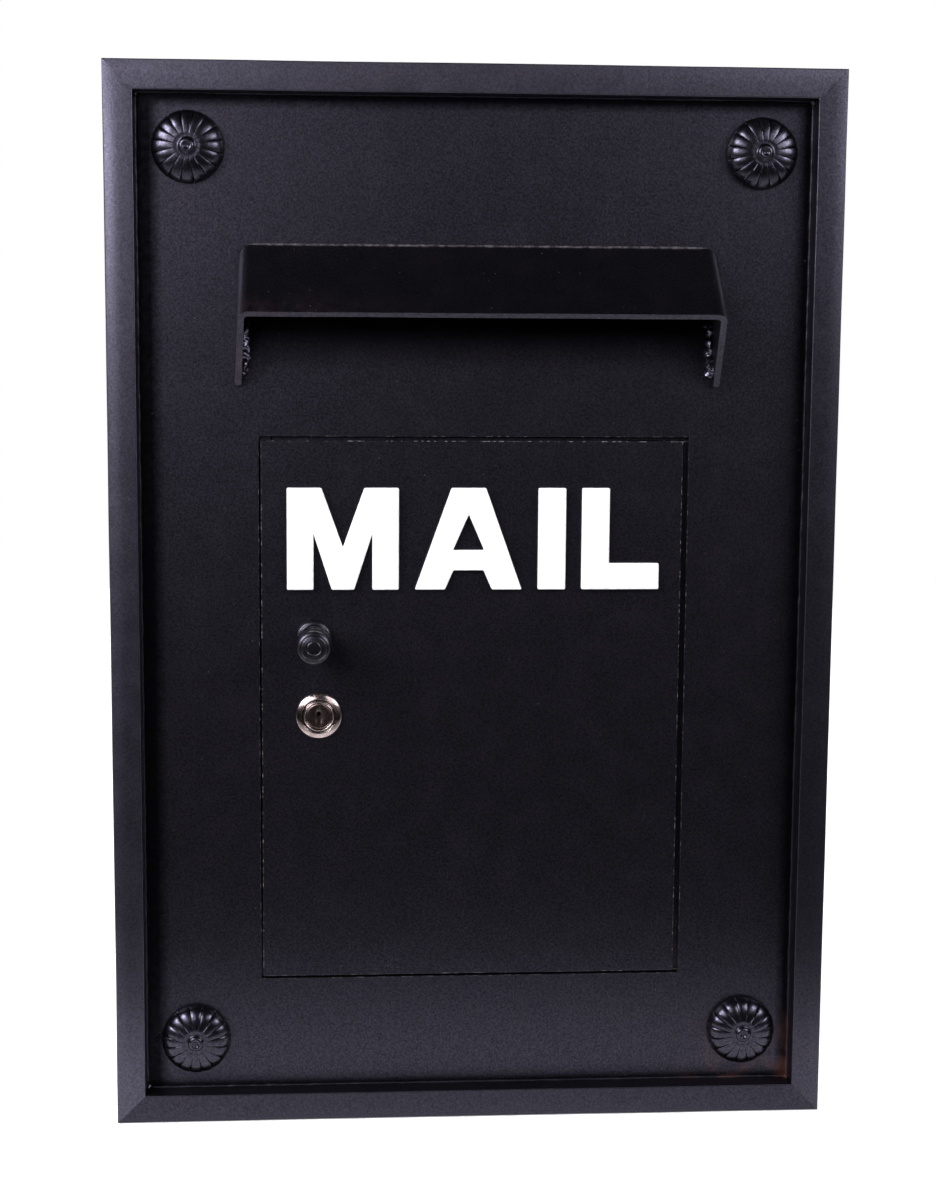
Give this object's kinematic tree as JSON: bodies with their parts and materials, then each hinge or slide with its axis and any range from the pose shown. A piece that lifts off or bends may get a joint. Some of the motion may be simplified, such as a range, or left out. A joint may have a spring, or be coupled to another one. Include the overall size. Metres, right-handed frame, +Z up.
{
  "type": "letter plate",
  "caption": "Framed steel letter plate with a hooded slot and a small hinged door that has a pull knob, raised letters and a cam lock.",
  "frame": {"origin": "centre of the rear plane of the frame, where it meets the wall, gate or box", "axes": "+Z up, the front faces -Y, +X to the viewer's right"},
  "size_m": [0.35, 0.0575, 0.513],
  "materials": {
    "black_paint": "satin black paint over steel, fine orange peel and dust",
    "gloss_black": "glossier black paint on castings and turned pieces",
    "white_enamel": "satin white paint",
    "nickel": "warm nickel plate",
    "zinc": "zinc plate"
  },
  "bodies": {
    "root": {"frame_top": "black_paint", "frame_bottom": "black_paint", "frame_left": "black_paint", "frame_right": "black_paint", "front_plate": "black_paint", "letter_hood": "black_paint", "latch_side_stop": "black_paint", "top_stop": "black_paint", "bottom_stop": "black_paint", "lock_keeper": "black_paint", "hinge_bracket_upper": "black_paint", "hinge_bracket_lower": "black_paint", "rosette_top_left": "gloss_black", "rosette_top_right": "gloss_black", "rosette_bottom_left": "gloss_black", "rosette_bottom_right": "gloss_black", "hinge_bush_upper": "zinc", "hinge_bush_lower": "zinc", "hinge_bolt_upper": "zinc", "hinge_bolt_lower": "zinc", "hinge_nut_upper": "zinc", "hinge_nut_lower": "zinc", "rosette_stud_top_left": "zinc", "rosette_stud_top_right": "zinc", "rosette_stud_bottom_left": "zinc", "rosette_stud_bottom_right": "zinc", "stud_washer_top_left": "zinc", "stud_washer_top_right": "zinc", "stud_washer_bottom_left": "zinc", "stud_washer_bottom_right": "zinc", "stud_nut_top_left": "zinc", "stud_nut_top_right": "zinc", "stud_nut_bottom_left": "zinc", "stud_nut_bottom_right": "zinc"},
    "door": {"door_leaf": "black_paint", "hinge_gap_cover": "black_paint", "letter_m": "white_enamel", "letter_a": "white_enamel", "letter_i": "white_enamel", "letter_l": "white_enamel", "pull_knob": "gloss_black", "knob_washer": "zinc", "knob_screw": "zinc", "lock_barrel": "nickel", "lock_washer": "zinc", "lock_nut": "zinc", "door_lug_upper": "black_paint", "door_lug_lower": "black_paint"},
    "lock_cylinder": {"lock_plug": "nickel", "lock_cam": "zinc", "cam_washer": "zinc", "cam_screw": "zinc"}
  },
  "joints": [
    {"name": "door_hinge", "type": "hinge", "parent": "root", "child": "door", "pos_m": [0.08435, 0.00937, -0.05325], "axis": [0, 0, 1], "range_deg": [0, 100]},
    {"name": "lock_turn", "type": "hinge", "parent": "door", "child": "lock_cylinder", "pos_m": [-0.07555, 0.0132, -0.0547], "axis": [0, 1, 0], "range_deg": [0, 90]}
  ]
}
